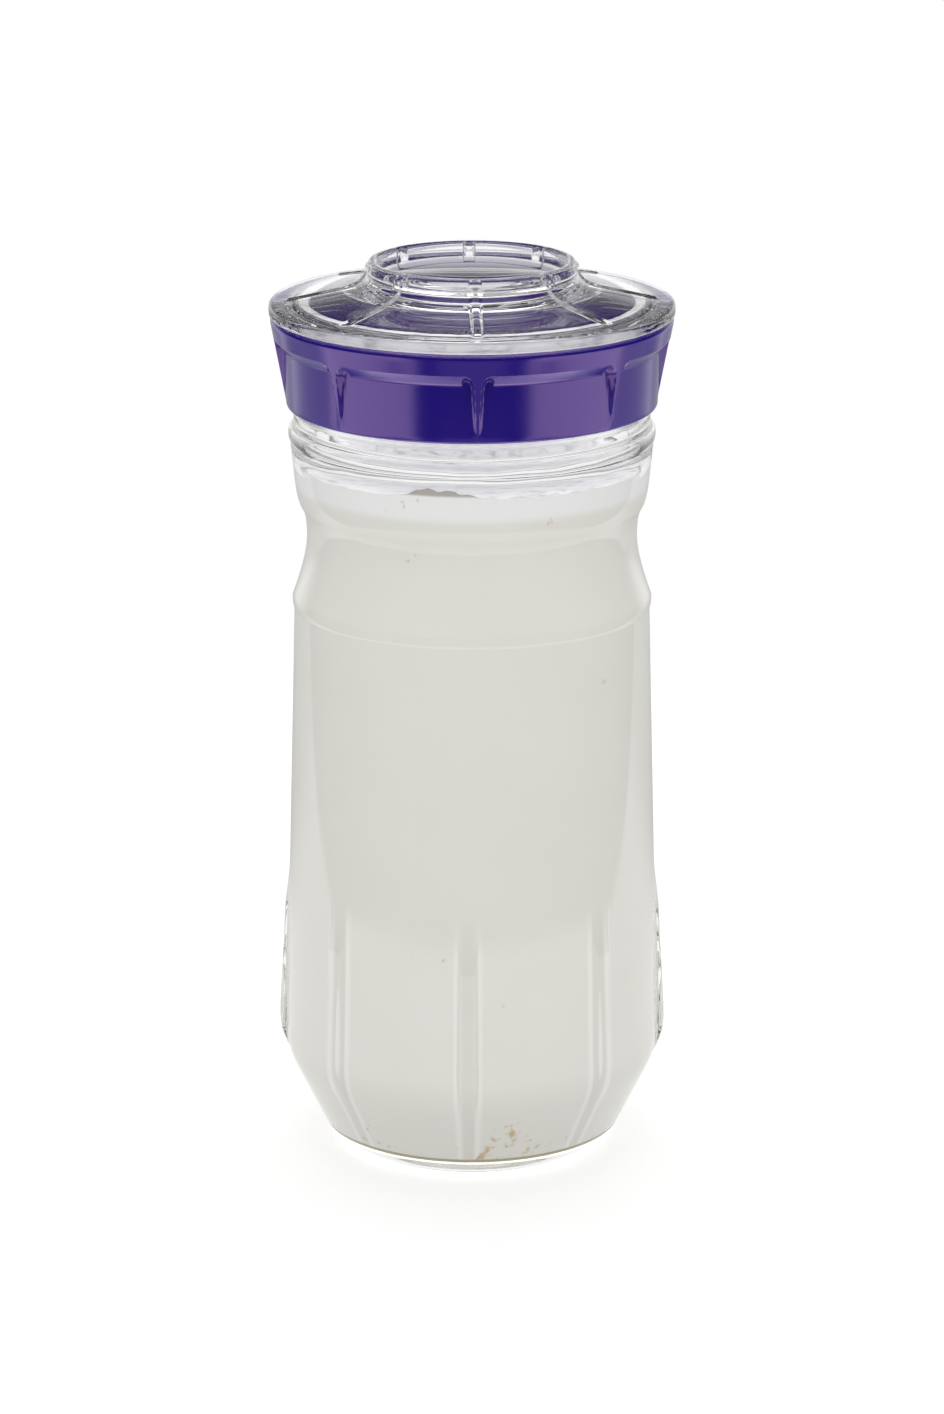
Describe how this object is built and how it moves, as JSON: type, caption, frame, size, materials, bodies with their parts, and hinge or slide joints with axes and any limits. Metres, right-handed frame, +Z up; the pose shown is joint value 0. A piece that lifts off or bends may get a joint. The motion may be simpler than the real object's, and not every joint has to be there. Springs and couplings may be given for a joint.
{
  "type": "kefir jar",
  "caption": "Tall ribbed glass jar of kefir with a ribbed screw-on strainer lid and a clear ring-topped cap, which both turn and lift off.",
  "frame": {"origin": "centre of the foot, on the surface that the jar stands on", "axes": "+Z up along the axis of the jar, lid and cap; -Y faces the picture's viewer"},
  "size_m": [0.1108, 0.1108, 0.2526],
  "materials": {
    "glass": "clear pressed glass",
    "kefir": "smooth cultured milk, off-white",
    "silicone": "translucent white silicone",
    "purple_plastic": "fine satin moulding",
    "clear_plastic": "clear polished moulding"
  },
  "bodies": {
    "jar": {"glass_jar": "glass", "kefir": "kefir"},
    "jar_seal": {"jar_gasket": "silicone"},
    "lid": {"strainer_lid": "purple_plastic"},
    "cap_seal": {"cap_gasket": "silicone"},
    "cap": {"clear_cap": "clear_plastic"}
  },
  "joints": [
    {"name": "lid_lift", "type": "slide", "parent": "jar", "child": "jar_seal", "axis": [0, 0, 1], "range_m": [0, 0.08]},
    {"name": "lid_turn", "type": "hinge", "parent": "jar_seal", "child": "lid", "pos_m": [0, 0, 0.2241], "axis": [0, 0, 1], "range_deg": [0, 450]},
    {"name": "cap_lift", "type": "slide", "parent": "lid", "child": "cap_seal", "axis": [0, 0, 1], "range_m": [0, 0.04]},
    {"name": "cap_turn", "type": "hinge", "parent": "cap_seal", "child": "cap", "pos_m": [0, 0, 0.2374], "axis": [0, 0, 1], "range_deg": [0, 360]}
  ]
}
